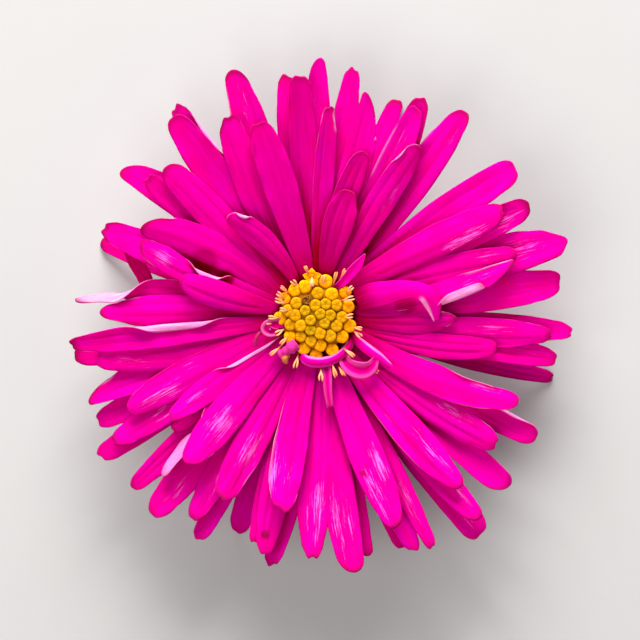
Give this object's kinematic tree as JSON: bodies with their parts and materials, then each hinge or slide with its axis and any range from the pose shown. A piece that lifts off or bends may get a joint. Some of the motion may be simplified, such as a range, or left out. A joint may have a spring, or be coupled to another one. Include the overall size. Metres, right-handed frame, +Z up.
{
  "type": "michaelmas daisy bloom",
  "caption": "Open daisy-type bloom with layered narrow ray petals round a domed disc of small florets, over a scaly green cup cut flat underneath.",
  "frame": {"origin": "centre of the flat cut underside of the green cup, on the surface that the bloom rests on", "axes": "+Z up along the axis of the disc, out of the face of the bloom; +X and +Y across the face"},
  "size_m": [0.0452, 0.0465, 0.0103],
  "materials": {
    "ray_petal": "soft satin petal, fine lengthwise veins",
    "disc_floret": "matt waxy florets",
    "green_bract": "matt green plant tissue"
  },
  "bodies": {
    "root": {"ray_florets": "ray_petal", "disc_florets": "disc_floret", "involucre": "green_bract"}
  },
  "joints": []
}
